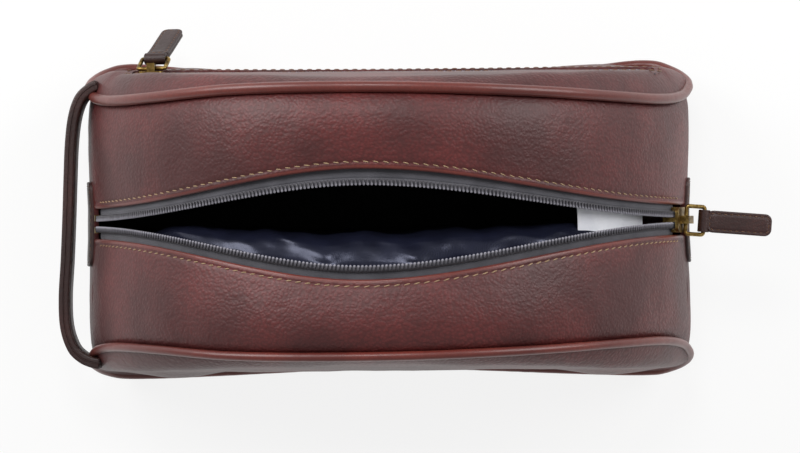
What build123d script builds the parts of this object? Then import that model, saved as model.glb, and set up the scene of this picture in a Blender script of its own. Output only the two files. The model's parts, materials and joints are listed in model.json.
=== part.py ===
from build123d import *
import os
from math import cos, degrees, radians, sin, sqrt

# A domed leather toiletry bag, standing on its base with its mouth open.
# Millimetres. +X runs along the main zip towards its slider, +Y to the pocket side,
# +Z up, and the origin is the middle of the base on the floor.

# The domed side outline
height = 122.0  # floor to the top of the arch
arch_radius = 128.0  # the arch that the main zip runs over
base_lift = 2.1  # floor to the leather beside the base
base_corner = 22.0  # round from the base into the arch
seam_half_width = 51.0  # middle to a seam, where gusset and panel meet

# Front and rear panels, plump beyond their seams
panel_top_depth = 3.0
panel_mid_depth = 9.8
panel_mid_height = 45.0
panel_base_depth = 9.5

# Sheet goods
leather = 1.8
lining = 0.6
board = 0.8
tape = 0.7
sheet_gap = 0.1  # between sheets that are sewn face to face
fit_gap = 0.3  # between a piece and its neighbour
base_edge_rise = 7.0  # width over which the base leather rises to its seams

# Crown of the leather strip on each side of the open mouth
crown_rise = 3.6  # above the arch, at its top
crown_radius = 118.0  # side view of the crown, which runs out into the arch
crown_sink = 0.3  # crown's long edges below the arch's top
crown_seam_clear = 0.8  # crown to the piping
crown_lip_clear = 1.6  # crown to the mouth's widest place

# Piping bead in each seam
piping_diameter = 4.0
piping_proud = 0.6  # bead centre beyond the leather

# Mouth along the main zip
mouth_half_angle = 71.5  # from the top of the arch to each end of the mouth
mouth_end_half = 5.6
mouth_mid_half = 20.5
mouth_peak_x = -10.0  # where the mouth is widest

# Main zip rows
coil_inner_end = 1.2  # coil's inner edge at the ends of the mouth
coil_inner_mid = 14.5
coil_width = 2.5
coil_thickness = 2.3
coil_proud = 0.4  # beyond the leather's outer face
tape_under_leather = 8.0
row_end_clear = 1.7  # degrees from a row's end to the mouth's end
stop_length = 1.9

# Main slider
slider_length = 14.0
slider_width = 10.2
slider_plate = 1.3
slider_clear = 0.45
slider_corner = 2.4
slider_post_length = 3.5
slider_post_width = 1.6
slider_flange = 1.0

# Bridge on each slider, which holds the pull ring
bridge_length = 7.0
bridge_width = 3.2
bridge_hole_length = 5.0
bridge_thickness = 1.0

# Pull rings and leather tabs, alike on both zips
ring_wire = 1.7
ring_width = 13.0
ring_length = 9.0
ring_corner = 1.0
ring_play = 0.35
tab_length = 30.0
tab_width = 9.0
tab_thickness = 3.0
tab_loop_wall = 1.5
tab_corner = 2.8
tab_play = 0.12
pull_skew = 4.5  # the main pull lies turned a little to the front

# Leather patches over the zip's ends
patch_half_width = 17.5
patch_low = 14.0
patch_thickness = 1.5

# Strap on the left end, two layers of leather
strap_layer = 2.2
strap_width = 14.0
strap_height = 33.0
strap_bow = 7.0  # middle of the strap's inner face beyond the end leather
strap_bow_y = 22.0
strap_seam_clear = 0.3  # strap beyond the piping bead
strap_tail = 8.0  # sewn down beyond the seam
strap_bend = 60.0

# Pocket zip in the rear panel
pocket_height = 48.0
pocket_left = -104.0
pocket_right = 108.0
pocket_slot_half = 4.6
pocket_coil_gap = 1.2
pocket_coil_width = 1.7
pocket_coil_thickness = 1.7
pocket_tape_width = 8.0
pocket_stop_length = 2.0

# Pocket slider
pocket_slider_x = -96.0
pocket_slider_length = 10.0
pocket_slider_width = 8.0
pocket_plate = 1.0
pocket_clear = 0.35
pocket_corner = 2.0
pocket_post_length = 2.5
pocket_post_width = 0.7
pocket_flange = 0.9
ring_drop = 37.0  # pocket ring, degrees out from hanging straight down
tab_drop = 27.0  # pocket tab, likewise
pull_lean = 12.0  # the pocket pull leans towards the right

# Pocket pouch between the rear panel and its lining
pouch_bottom = 18.0
pouch_room = 3.0
pouch_top_rise = 7.0  # inner wall above the zip, where it is sewn to the upper tape
pouch_side = 3.0  # pouch ends inside the slot's ends

# Care label under the zip, near the slider
label_near = 73.0
label_far = 101.0
label_half_width = 14.0
label_thickness = 0.4
label_depth = 7.0

# Sizes worked out from those above
far = 3 * arch_radius
arch_centre = height - arch_radius
bead_radius = piping_diameter / 2
pocket_tape_level = -leather - fit_gap
lining_level = -leather - sheet_gap - tape - sheet_gap
tape_level = -leather - sheet_gap
row_half_angle = mouth_half_angle - row_end_clear
corner_rise = base_lift + base_corner - arch_centre
corner_x = sqrt((arch_radius - base_corner) ** 2 - corner_rise ** 2)
end_x = corner_x + base_corner
slider_half_angle = degrees((slider_length / 2 + fit_gap) / arch_radius)
slider_angle = row_half_angle - slider_half_angle
straight_x = arch_radius * sin(radians(slider_angle - slider_half_angle))
hole_height = ring_wire + 2 * ring_play
ring_reach = ring_length - ring_wire


def save(node, solid):
    export_step(solid, f"parts/{node}.step")


# Shapes that several pieces share

def outline(inset):
    # Side outline of the bag, moved in from the leather's outer face
    disc = Pos(0, arch_centre) * Circle(arch_radius - inset)
    above_base = Pos(0, base_lift + inset + far / 2) * Rectangle(2 * far, far)
    face = disc & above_base
    corners = face.vertices().group_by(Axis.Y)[0]
    return fillet(corners, base_corner - inset)


def across(face, half_width):
    # A side view made solid across the bag
    return extrude(Plane.XZ * face, half_width, both=True)


def arch_wedge(half_angle):
    # The part of the side view within an angle of the top of the arch
    x = far * sin(radians(half_angle))
    z = arch_centre + far * cos(radians(half_angle))
    points = [(0, arch_centre), (x, z), (x, far), (-x, far), (-x, z)]
    return make_face(Polyline(*points, close=True))


def arch_band(low, high):
    # Side view of a band that follows the arch, by levels over the outer leather
    return Circle(arch_radius + high) - Circle(arch_radius + low)


def arch_layer(low, high, half_angle, half_width):
    band = Pos(0, arch_centre) * arch_band(low, high)
    return across(band & arch_wedge(half_angle), half_width)


def on_arch(angle):
    # A place on the arch, with X down along the zip and Z out of the leather
    return Pos(0, 0, arch_centre) * Rot(0, angle, 0) * Pos(0, 0, arch_radius)


def flank(side, end_half, mid_half):
    # Half of an edge of the mouth, bowed out and back to level at the widest place
    start = (side * straight_x, end_half)
    widest = (mouth_peak_x, mid_half)
    turn = ((start[0] + widest[0]) / 2, (end_half + mid_half) / 2)
    outward = TangentArc(start, turn, tangent=(-side, 0))
    level = TangentArc(widest, turn, tangent=(side, 0))
    return outward, level


def long_edge(end_half, mid_half):
    # An edge of the mouth in plan, straight at both ends where the slider stands
    left = Line((-end_x, end_half), (-straight_x, end_half))
    right = Line((straight_x, end_half), (end_x, end_half))
    return Wire([left, *flank(-1, end_half, mid_half), *flank(1, end_half, mid_half), right])


def plan_prism(inner, outer):
    # Plan between two long edges, at full height over the base's corners
    ends = [Line(inner @ 1, outer @ 1), Line(inner @ 0, outer @ 0)]
    plan = make_face([*inner.edges(), *outer.edges(), *ends])
    return Pos(0, 0, base_corner) * extrude(plan, far)


def mouth_prism():
    rear_edge = long_edge(mouth_end_half, mouth_mid_half)
    front_edge = long_edge(-mouth_end_half, -mouth_mid_half)
    return plan_prism(rear_edge, front_edge)


def bead(radius):
    # Piping along the rear seam, pressed flat where it meets the floor
    path = (Plane.XZ * outline(-piping_proud)).face().outer_wire()
    section = Plane(origin=path @ 0, z_dir=path % 0) * Circle(radius)
    loop = Pos(0, seam_half_width, 0) * sweep(section, path=path)
    above_floor = Pos(0, 0, far) * Box(2 * far, 2 * far, 2 * far)
    return loop & above_floor


def panel_arc(inset):
    # Outer face of the rear panel in the end view, moved in
    y = seam_half_width - inset
    foot = (y + panel_base_depth, 0)
    middle = (y + panel_mid_depth, panel_mid_height)
    top = (y + panel_top_depth, height)
    return ThreePointArc(foot, middle, top)


def behind_panel(inset):
    # Space from the seam plane out to the rear panel's face, moved in
    arc = panel_arc(inset)
    low = (seam_half_width, (arc @ 0).Y)
    high = (seam_half_width, (arc @ 1).Y)
    face = make_face([arc, Line(arc @ 1, high), Line(high, low), Line(low, arc @ 0)])
    return extrude(Plane.YZ * face, far, both=True)


def panel_tray(inset, thickness):
    # A sheet that follows the rear panel and turns in to its seam
    outer = behind_panel(inset) & across(outline(inset), far)
    inner = behind_panel(inset + thickness) & across(outline(inset + thickness), far)
    return outer - inner


def front(solid):
    return mirror(solid, Plane.XZ)


# Leather shell

def make_panels():
    panel = panel_tray(0, leather) - bead(bead_radius + sheet_gap / 2)
    slot_centre = (pocket_left + pocket_right) / 2
    slot_size = Box(pocket_right - pocket_left, far, 2 * pocket_slot_half)
    slot = Pos(slot_centre, far / 2, pocket_height) * slot_size
    save("front_panel", front(panel))
    save("rear_panel", panel - slot)


def make_piping():
    loop = bead(bead_radius)
    save("front_piping", front(loop))
    save("rear_piping", loop)


def crown(inset):
    # Solid under the swell of the rear strip, moved in from its outer face. The profile
    # hangs below its centre, so the turned face's own seam is cut away with the lower part
    centre = height + crown_rise - crown_radius
    edge = 2 * centre - height + crown_sink + inset
    foot = centre - crown_radius + inset
    near = mouth_mid_half + crown_lip_clear
    seam = seam_half_width - bead_radius - crown_seam_clear
    arc = ThreePointArc((near, edge), ((near + seam) / 2, foot), (seam, edge))
    sides = Polyline((seam, edge), (seam, centre), (near, centre), (near, edge))
    disc = revolve(Plane.YZ * make_face([arc, *sides.edges()]), Axis((0, 0, centre), (0, 1, 0)))
    above_corners = Pos(0, 0, base_corner + far) * Box(2 * far, 2 * far, 2 * far)
    return disc & above_corners


def swollen(flat):
    # The rear strip with its crown as one sheet of even thickness
    hollow = crown(leather)
    inside = across(outline(leather), seam_half_width)
    return (flat - hollow) + (crown(0) - hollow - inside)


def make_gusset():
    seat = bead(bead_radius + sheet_gap / 2)
    ring = outline(0) - outline(leather)
    wedge = arch_wedge(mouth_half_angle)
    strips = across(ring & wedge, seam_half_width) - seat - front(seat) - mouth_prism()
    rear_strip = swollen(strips.solids().sort_by(Axis.Y)[-1])
    front_strip = swollen(front(strips.solids().sort_by(Axis.Y)[0]))
    save("front_zip_strip", front(front_strip))
    save("rear_zip_strip", rear_strip)
    beside = Rectangle(2 * corner_x, 2 * far)
    ends = across(ring - wedge - beside, seam_half_width) - seat - front(seat)
    ends = ends.solids().sort_by(Axis.X)
    save("left_end_panel", ends[0])
    save("right_end_panel", ends[-1])
    save("base_panel", base_sheet() - seat - front(seat))


def base_sheet():
    # Base leather, sagging flat onto the floor inside its seams
    plate = Pos(0, 0, base_lift + leather / 2) * Box(2 * corner_x, 2 * seam_half_width, leather)
    rim_x = corner_x - fit_gap
    rim_y = seam_half_width - bead_radius - fit_gap
    foot = Rectangle(2 * (rim_x - base_edge_rise), 2 * (rim_y - base_edge_rise))
    rim = Pos(0, 0, base_lift) * Rectangle(2 * rim_x, 2 * rim_y)
    return plate + loft([foot, rim])


def make_patches():
    level = sheet_gap + patch_thickness
    proud = outline(-level) - outline(-sheet_gap)
    patch_top = arch_centre + arch_radius * cos(radians(mouth_half_angle))
    tall = patch_top - patch_low
    right_side = Pos(corner_x + far / 2, patch_low + tall / 2) * Rectangle(far, tall)
    patch = across(proud & right_side, patch_half_width)
    save("right_zip_patch", patch)
    save("left_zip_patch", mirror(patch, Plane.YZ))


# Inside of the bag

def make_base_board():
    half_width = seam_half_width - fit_gap
    level = base_lift + leather + sheet_gap
    save("base_board", Pos(0, 0, level + board / 2) * Box(2 * corner_x, 2 * half_width, board))


def make_linings():
    save("front_lining", front(panel_tray(leather + sheet_gap, lining)))
    near = seam_half_width + fit_gap
    sheet = extrude(Plane.XZ * outline(leather + sheet_gap), -lining)
    save("rear_lining", Pos(0, near, 0) * sheet)
    ring = outline(-lining_level) - outline(lining - lining_level)
    save("gusset_lining", across(ring, seam_half_width - fit_gap) - mouth_prism())


def make_label():
    # A sewn-in label: its rear edge turns up to the lining
    between = Pos((label_near + label_far) / 2, far / 2) * Rectangle(label_far - label_near, far)
    centre = Pos(0, arch_centre)
    sheet = centre * arch_band(-label_depth - label_thickness, -label_depth) & between
    hem = centre * arch_band(-label_depth - label_thickness, lining_level - lining - sheet_gap) & between
    hem_y = label_half_width - label_thickness / 2
    save("care_label", across(sheet, label_half_width) + Pos(0, hem_y, 0) * across(hem, label_thickness / 2))


# Main zip

def make_rows():
    inner = long_edge(coil_inner_end, coil_inner_mid)
    coil_edge = long_edge(coil_inner_end + coil_width, coil_inner_mid + coil_width)
    tape_edge = long_edge(mouth_end_half + tape_under_leather, mouth_mid_half + tape_under_leather)
    coil_layer = arch_layer(tape_level, coil_proud, row_half_angle, seam_half_width)
    tape_layer = arch_layer(tape_level - tape, tape_level, row_half_angle, seam_half_width)
    coil = coil_layer & plan_prism(inner, coil_edge)
    band = tape_layer & plan_prism(inner, tape_edge)
    save("rear_coil", coil)
    save("rear_tape", band)
    save("front_coil", front(coil))
    save("front_tape", front(band))


def make_row_stops():
    # One bar across both rows at the right, and a small stop on each row at the left
    angle = row_half_angle + degrees((fit_gap + stop_length / 2) / arch_radius)
    tall = tape - tape_level + coil_proud
    level = coil_proud - tall / 2
    outer = coil_inner_end + coil_width
    bar = on_arch(angle) * Pos(0, 0, level) * Box(stop_length, 2 * outer, tall)
    across_row = Pos(0, coil_inner_end + coil_width / 2, level)
    rear_stop = on_arch(-angle) * across_row * Box(stop_length, coil_width, tall)
    save("zip_bottom_stop", bar)
    save("zip_top_stops", Compound([rear_stop, front(rear_stop)]))


# Sliders, rings and tabs

def slider_body(length, width, plate, corner, top, bottom, flange_foot, flange, post):
    # X along the zip with the open rows at -X, Z out of the leather
    blank = extrude(RectangleRounded(length, width, corner), plate)
    body = Pos(0, 0, top) * blank + Pos(0, 0, bottom - plate) * blank
    post_length, post_width = post
    post_x = (post_length - length) / 2
    body += Pos(post_x, 0, (top + bottom) / 2) * Box(post_length, post_width, top - bottom)
    flange_size = Box(length - 2 * corner, flange, top - flange_foot)
    flange_y = (width - flange) / 2
    for side in (-1, 1):
        body += Pos(0, side * flange_y, (top + flange_foot) / 2) * flange_size
    return body


def bridge(level):
    tall = hole_height + bridge_thickness
    arch = Pos(0, 0, level + tall / 2) * Box(bridge_length, bridge_width, tall)
    hole = Pos(0, 0, level + hole_height / 2) * Box(bridge_hole_length, far, hole_height)
    return arch - hole


def pull_ring():
    # The bar in the bridge lies on the Y axis, and the loop reaches along X
    loop = Pos(ring_reach / 2, 0) * RectangleRounded(ring_reach, ring_width - ring_wire, ring_corner)
    path = loop.face().outer_wire()
    return sweep(Plane(origin=path @ 0, z_dir=path % 0) * Circle(ring_wire / 2), path=path)


def pull_tab():
    # Folded leather, its loop round the ring's far bar on the Y axis
    hole_radius = ring_wire / 2 + tab_play
    loop_radius = hole_radius + tab_loop_wall
    reach = tab_length - loop_radius
    flat = Pos(reach / 2, 0) * Rectangle(reach, tab_width)
    flat = fillet(flat.vertices().group_by(Axis.X)[-1], tab_corner)
    body = extrude(flat, tab_thickness / 2, both=True)
    body += Rot(90, 0, 0) * Cylinder(loop_radius, tab_width)
    return body - Rot(90, 0, 0) * Cylinder(hole_radius, 2 * tab_width)


def make_main_pull():
    top = coil_proud + slider_clear
    bottom = tape_level - tape - slider_clear
    flange_foot = tape_level + slider_clear
    post = (slider_post_length, slider_post_width)
    body = slider_body(slider_length, slider_width, slider_plate, slider_corner,
                       top, bottom, flange_foot, slider_flange, post)
    body += bridge(top + slider_plate)
    place = on_arch(slider_angle)
    save("main_slider", place * body)
    bar_level = top + slider_plate + hole_height / 2
    pivot = (place * Pos(0, 0, bar_level)).position
    turned = Pos(*pivot) * Rot(0, 0, -pull_skew)
    tab_place = turned * Pos(ring_reach, 0, 0)
    save("main_pull_ring", turned * pull_ring())
    save("main_pull_tab", tab_place * pull_tab())
    print("main ring pivot", pivot, "tab pivot", tab_place.position, "slider angle", slider_angle)


# Pocket in the rear panel

def panel_normal(inset, z):
    # A point on the rear panel's outer face, moved in, and the direction out of it
    arc = panel_arc(inset)
    rise = z - arc.arc_center.Y
    run = sqrt(arc.radius ** 2 - rise ** 2)
    return Vector(0, arc.arc_center.X + run, z), Vector(0, run, rise).normalized()


def on_pocket(x):
    # A place on the pocket zip, with X along it and Z out of the leather
    point, out = panel_normal(0, pocket_height)
    return Location(Plane(origin=point + Vector(x, 0, 0), x_dir=(1, 0, 0), z_dir=out))


def make_pocket_zip():
    length = pocket_right - pocket_left - 2 * fit_gap
    middle = (pocket_left + pocket_right) / 2
    coil_length = length - 2 * pocket_stop_length - 2 * fit_gap
    coil_y = (pocket_coil_gap + pocket_coil_width) / 2
    coil_z = pocket_tape_level + pocket_coil_thickness / 2
    coil = Pos(0, coil_y, coil_z) * Box(coil_length, pocket_coil_width, pocket_coil_thickness)
    tape_y = (pocket_coil_gap + pocket_tape_width) / 2
    band = Pos(0, tape_y, pocket_tape_level - tape / 2) * Box(length, pocket_tape_width, tape)
    place = on_pocket(middle)
    save("pocket_coil_lower", place * coil)
    save("pocket_coil_upper", place * Rot(0, 0, 180) * coil)
    save("pocket_tape_lower", place * band)
    save("pocket_tape_upper", place * Rot(0, 0, 180) * band)
    stop_x = (length - pocket_stop_length) / 2
    stop_width = pocket_coil_gap + 2 * pocket_coil_width
    stop = Pos(stop_x, 0, coil_z) * Box(pocket_stop_length, stop_width, pocket_coil_thickness)
    save("pocket_zip_stops", Compound([place * stop, place * Rot(0, 0, 180) * stop]))


def make_pocket_pull():
    top = pocket_tape_level + pocket_coil_thickness + pocket_clear
    bottom = pocket_tape_level - tape - pocket_clear
    flange_foot = pocket_tape_level + pocket_clear
    post = (pocket_post_length, pocket_post_width)
    body = slider_body(pocket_slider_length, pocket_slider_width, pocket_plate, pocket_corner,
                       top, bottom, flange_foot, pocket_flange, post)
    body += Rot(0, 0, 90) * bridge(top + pocket_plate)
    place = on_pocket(pocket_slider_x)
    save("pocket_slider", place * body)
    bar_level = top + pocket_plate + hole_height / 2
    pivot = (place * Pos(0, 0, bar_level)).position
    leaning = Pos(*pivot) * Rot(0, -pull_lean, 0)
    ring_place = leaning * hanging(ring_drop)
    tab_pivot = (ring_place * Pos(ring_reach, 0, 0)).position
    tab_place = Pos(*tab_pivot) * Rot(0, -pull_lean, 0) * hanging(tab_drop)
    save("pocket_pull_ring", ring_place * pull_ring())
    save("pocket_pull_tab", tab_place * pull_tab())
    print("pocket ring pivot", pivot, "tab pivot", tab_pivot)


def hanging(drop):
    # Turns a pull so that it hangs down, an angle out from the panel, its bar along X
    down = Vector(0, sin(radians(drop)), -cos(radians(drop)))
    return Location(Plane(origin=(0, 0, 0), x_dir=down, z_dir=down.cross(Vector(1, 0, 0))))


def make_pouch():
    behind_tape = fit_gap - pocket_tape_level + tape
    inner_top = pocket_height + pouch_top_rise
    outer_y = panel_normal(behind_tape, pouch_bottom)[0].Y
    hem_y = panel_normal(behind_tape, inner_top)[0].Y
    inner_y = outer_y - pouch_room - lining
    outer_top = pocket_height - pocket_slot_half
    points = [
        (outer_y, outer_top), (outer_y, pouch_bottom), (inner_y - lining, pouch_bottom),
        (inner_y - lining, inner_top), (hem_y, inner_top), (hem_y, inner_top - lining),
        (inner_y, inner_top - lining), (inner_y, pouch_bottom + lining),
        (outer_y - lining, pouch_bottom + lining), (outer_y - lining, outer_top),
    ]
    section = make_face(Polyline(*points, close=True))
    half_length = (pocket_right - pocket_left) / 2 - pouch_side
    pouch = extrude(Plane.YZ * section, half_length, both=True)
    tall = outer_top - pouch_bottom
    end_wall = Box(lining, outer_y - inner_y + lining, tall)
    wall_y = (outer_y + inner_y - lining) / 2
    for side in (-1, 1):
        wall_x = side * (half_length - lining / 2)
        pouch += Pos(wall_x, wall_y, pouch_bottom + tall / 2) * end_wall
    save("pocket_pouch", Pos((pocket_left + pocket_right) / 2, 0, 0) * pouch)


# Strap across the left end

def make_strap():
    tail_x = end_x + fit_gap + strap_layer
    seam_x = end_x + piping_proud + bead_radius + strap_seam_clear + strap_layer
    bow_x = end_x + strap_bow + strap_layer
    tail_y = seam_half_width + bead_radius + strap_tail
    rear_half = [(-tail_x, tail_y), (-seam_x, seam_half_width), (-bow_x, strap_bow_y)]
    front_half = [(x, -y) for x, y in reversed(rear_half)]
    path = FilletPolyline(*rear_half, *front_half, radius=strap_bend)
    along = path % 0
    start = Plane(origin=path @ 0, x_dir=(along.Y, -along.X, 0), z_dir=along)
    for name, side in (("strap_outer", 1), ("strap_inner", -1)):
        section = start * Pos(side * strap_layer / 2, 0) * Rectangle(strap_layer, strap_width)
        save(name, Pos(0, 0, strap_height) * sweep(section, path=path))


os.makedirs("parts", exist_ok=True)
make_panels()
make_piping()
make_gusset()
make_patches()
make_base_board()
make_linings()
make_label()
make_rows()
make_row_stops()
make_main_pull()
make_pocket_zip()
make_pocket_pull()
make_pouch()
make_strap()
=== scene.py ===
import json
from math import asin, atan2, cos, exp, pi, radians, sin, sqrt

import bpy
from mathutils import Matrix, Vector, noise


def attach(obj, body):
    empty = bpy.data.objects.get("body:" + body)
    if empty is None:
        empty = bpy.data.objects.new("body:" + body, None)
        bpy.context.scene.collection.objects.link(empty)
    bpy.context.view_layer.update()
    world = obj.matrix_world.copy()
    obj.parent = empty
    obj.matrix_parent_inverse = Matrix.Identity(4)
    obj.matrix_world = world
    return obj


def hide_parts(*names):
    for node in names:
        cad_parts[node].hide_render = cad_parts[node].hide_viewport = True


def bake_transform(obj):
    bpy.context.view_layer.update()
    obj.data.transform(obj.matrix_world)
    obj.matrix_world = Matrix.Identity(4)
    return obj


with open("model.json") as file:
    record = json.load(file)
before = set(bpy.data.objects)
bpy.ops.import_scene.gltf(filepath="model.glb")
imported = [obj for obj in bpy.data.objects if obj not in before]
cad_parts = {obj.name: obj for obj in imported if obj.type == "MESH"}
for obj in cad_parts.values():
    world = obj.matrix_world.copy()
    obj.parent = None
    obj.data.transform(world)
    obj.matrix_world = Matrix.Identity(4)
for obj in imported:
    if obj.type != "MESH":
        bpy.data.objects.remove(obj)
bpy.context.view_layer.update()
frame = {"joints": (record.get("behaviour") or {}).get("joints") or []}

# Everything below is worked out in millimetres and put in the mesh in metres
mm = 0.001

bag = {
    "height": 122.0,  # top of the arch above the floor
    "archRadius": 128.0,  # side view of the zip's arch
    "lift": 2.1,  # leather beside the base above the floor
    "cornerRound": 22.0,
    "leather": 1.8,
    "pipingRadius": {1: 2.15, -1: 1.75},  # rear and front
    "pipingProud": 0.6,
    "mouthEnd": 6.1,  # half width of the mouth at its ends
    "mouthAngle": 71.5,  # from the top of the arch to each end of the mouth
    "widest": -10.0,  # where the mouth is widest
    "westEnd": -122.0,  # where the rows start to part
    "eastEnd": 118.0,
}

archRadius, cornerRound = bag["archRadius"], bag["cornerRound"]
archCentre = bag["height"] - archRadius
cornerZ = bag["lift"] + cornerRound
cornerX = sqrt((archRadius - cornerRound) ** 2 - (cornerZ - archCentre) ** 2)
endX = cornerX + cornerRound
cornerAngle = atan2(cornerX, cornerZ - archCentre)  # where the arch turns into the corner
archLength = archRadius * cornerAngle
cornerLength = cornerRound * (pi - cornerAngle)
baseStart = archLength + cornerLength
halfRound = baseStart + cornerX  # top of the arch round to the middle of the base
mouthLength = archRadius * radians(bag["mouthAngle"])

# Half width of the bag at its seams, by the distance from the top of the arch
seamWidths = [
    (-307, 60), (-215, 64), (-194, 64), (-184, 62), (-174, 58.5), (-164, 54.5), (-152, 51.2), (-130, 49.2),
    (-100, 49.2), (-60, 50.6), (0, 50.3), (50, 49.2), (100, 48.0), (130, 48.3), (152, 50.6), (164, 54),
    (174, 58), (184, 61.5), (194, 64), (215, 64), (307, 60),
]

rows = {
    "rear": {"side": 1, "lip": 19.8, "body": "rear_row", "phase": 0.0},
    "front": {"side": -1, "lip": 21.6, "body": "front_row", "phase": 0.75},
}
for joint in frame["joints"]:
    for row in rows.values():
        if joint["child"] == row["body"]:
            row["travel"] = joint["range_m"][1] / mm


def smooth(t):
    t = min(max(t, 0.0), 1.0)
    return t * t * (3 - 2 * t)


def mix(a, b, t):
    return a + (b - a) * t


def readCurve(points, at):
    # Smooth reading between listed points, with the slope at each taken from its neighbours
    i = next((k for k in range(len(points) - 2) if at <= points[k + 1][0]), len(points) - 2)
    slopes = []
    for k in (i, i + 1):
        before, after = points[max(k - 1, 0)], points[min(k + 1, len(points) - 1)]
        slopes.append((after[1] - before[1]) / (after[0] - before[0]))
    (a, low), (b, high) = points[i], points[i + 1]
    t = min(max((at - a) / (b - a), 0), 1)
    return (mix(low, high, t * t * (3 - 2 * t))
            + (b - a) * t * (1 - t) * (slopes[0] * (1 - t) - slopes[1] * t))


def onSide(s, out=0.0):
    # Side view of the bag: distance s from the top of the arch, and how far out
    side = -1 if s < 0 else 1
    s = abs(s)
    if s <= archLength:
        turn = s / archRadius
        reach = archRadius + out
        return side * reach * sin(turn), archCentre + reach * cos(turn)
    if s <= baseStart:
        turn = cornerAngle + (s - archLength) / cornerRound
        reach = cornerRound + out
        return side * (cornerX + reach * sin(turn)), cornerZ + reach * cos(turn)
    return side * (cornerX - (s - baseStart)), bag["lift"] - out


def onBag(s, y, out):
    x, z = onSide(s, out)
    return Vector((x, y, max(z, 0.0))) * mm


def seamHalf(s, side):
    # The rear seam stands further out at the base corners
    extra = 1.7 * exp(-((abs(s) - 198) / 16) ** 2) if side > 0 else 0.0
    return readCurve(seamWidths, s) + extra


def openShare(x):
    # How far the rows have parted, from 0 at the mouth's ends to 1 at its widest
    if x < bag["widest"]:
        return smooth((x - bag["westEnd"]) / (bag["widest"] - bag["westEnd"]))
    return smooth((bag["eastEnd"] - x) / (bag["eastEnd"] - bag["widest"]))


def lipHalf(row, x):
    return mix(bag["mouthEnd"], row["lip"], openShare(x))


def lipLift(x):
    # The lips stand a little proud where the mouth gapes
    return 1.2 * openShare(x)


def roughly(point, size):
    # Slow unevenness between -1 and 1
    return noise.noise(Vector(point) / size)


def deselect():
    bpy.ops.object.select_all(action="DESELECT")


def makeActive(obj):
    deselect()
    obj.select_set(True)
    bpy.context.view_layer.objects.active = obj


def addGrid(name, alongs, acrosses, place):
    # A grid whose points are then placed by their stations along and across
    deselect()
    bpy.ops.mesh.primitive_grid_add(x_subdivisions=len(alongs) - 1, y_subdivisions=len(acrosses) - 1, size=1)
    obj = bpy.context.object
    obj.name = obj.data.name = name
    for vertex in obj.data.vertices:
        i = round((vertex.co.x + 0.5) * (len(alongs) - 1))
        j = round((vertex.co.y + 0.5) * (len(acrosses) - 1))
        vertex.co = place(alongs[i], acrosses[j])
    return obj


def applyModifier(obj, kind, **settings):
    makeActive(obj)
    modifier = obj.modifiers.new(kind, kind)
    for key, value in settings.items():
        setattr(modifier, key, value)
    bpy.ops.object.modifier_apply(modifier=modifier.name)


def editAll(obj, *steps):
    makeActive(obj)
    bpy.ops.object.mode_set(mode="EDIT")
    bpy.ops.mesh.select_all(action="SELECT")
    for step in steps:
        step()
    bpy.ops.object.mode_set(mode="OBJECT")


def weld(distance=0.00002):
    return lambda: bpy.ops.mesh.remove_doubles(threshold=distance)


def pointOut():
    bpy.ops.mesh.normals_make_consistent(inside=False)


def addSheet(name, alongs, acrosses, place, away, wall, joined=False):
    # A grid with a wall behind its face, which is turned to the side that away points to
    sheet = addGrid(name, alongs, acrosses, place)
    if joined:
        editAll(sheet, weld())
    facing = sum(face.area * face.normal.dot(away(face.center)) for face in sheet.data.polygons)
    if facing < 0:
        editAll(sheet, bpy.ops.mesh.flip_normals)
    applyModifier(sheet, "SOLIDIFY", thickness=wall * mm, offset=-1.0, use_even_offset=False)
    return sheet


def fromAxis(point):
    return Vector((point.x, 0, point.z))


def bend(obj, place):
    # Moves each point of a piece that was modelled flat, in millimetres, to its place on the bag
    for vertex in obj.data.vertices:
        vertex.co = place(vertex.co)
    obj.data.update()


def spread(first, last, count):
    return [mix(first, last, i / count) for i in range(count + 1)]


def smoothPath(points, share):
    # A smooth line through the points, by its share from the first to the last
    at = share * (len(points) - 1)
    i = min(int(at), len(points) - 2)
    t = at - i
    p0, p1, p2, p3 = [Vector(points[min(max(k, 0), len(points) - 1)]) for k in (i - 1, i, i + 1, i + 2)]
    return 0.5 * (2 * p1 + (p2 - p0) * t + (2 * p0 - 5 * p1 + 4 * p2 - p3) * t ** 2
                  + (3 * p1 - p0 - 3 * p2 + p3) * t ** 3)


arcSteps = 6  # of each corner of a rounded outline


def roundedOutline(halfLength, halfWidth, corner, longCount, endCount):
    # Points round a rounded rectangle, the same number whatever its size
    corner = min(max(corner, 0.01), max(halfWidth, 0.011))
    arcs = []
    for k, (sx, sy) in enumerate(((1, 1), (-1, 1), (-1, -1), (1, -1))):
        middle = Vector((sx * (halfLength - corner), sy * (halfWidth - corner)))
        turns = [radians(90 * k + 90 / arcSteps * i) for i in range(arcSteps + 1)]
        arcs.append([middle + corner * Vector((cos(turn), sin(turn))) for turn in turns])
    points = []
    for k, arc in enumerate(arcs):
        count = endCount if k % 2 else longCount
        points += arc + [arc[-1].lerp(arcs[(k + 1) % 4][0], i / count) for i in range(1, count)]
    return points + points[:1]


def addPad(name, halfLength, halfWidth, corner, profile, longCount=10, endCount=4):
    # A closed piece with a rounded outline. The profile runs from its top to its underside,
    # each point by how far it lies in from the edge and how high
    rings = []
    for inset, height in profile:
        inset = min(inset, halfWidth)
        outline = roundedOutline(halfLength - inset, halfWidth - inset, corner - inset, longCount, endCount)
        rings.append([Vector((p.x, p.y, height)) for p in outline])
    obj = addGrid(name, list(range(len(rings[0]))), list(range(len(rings))), lambda i, j: rings[j][i])
    editAll(obj, weld(0.004), pointOut)
    return obj


def bothHalves(upper):
    # A profile whose lower half mirrors its upper one
    return upper + [(inset, -height) for inset, height in reversed(upper)]


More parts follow.
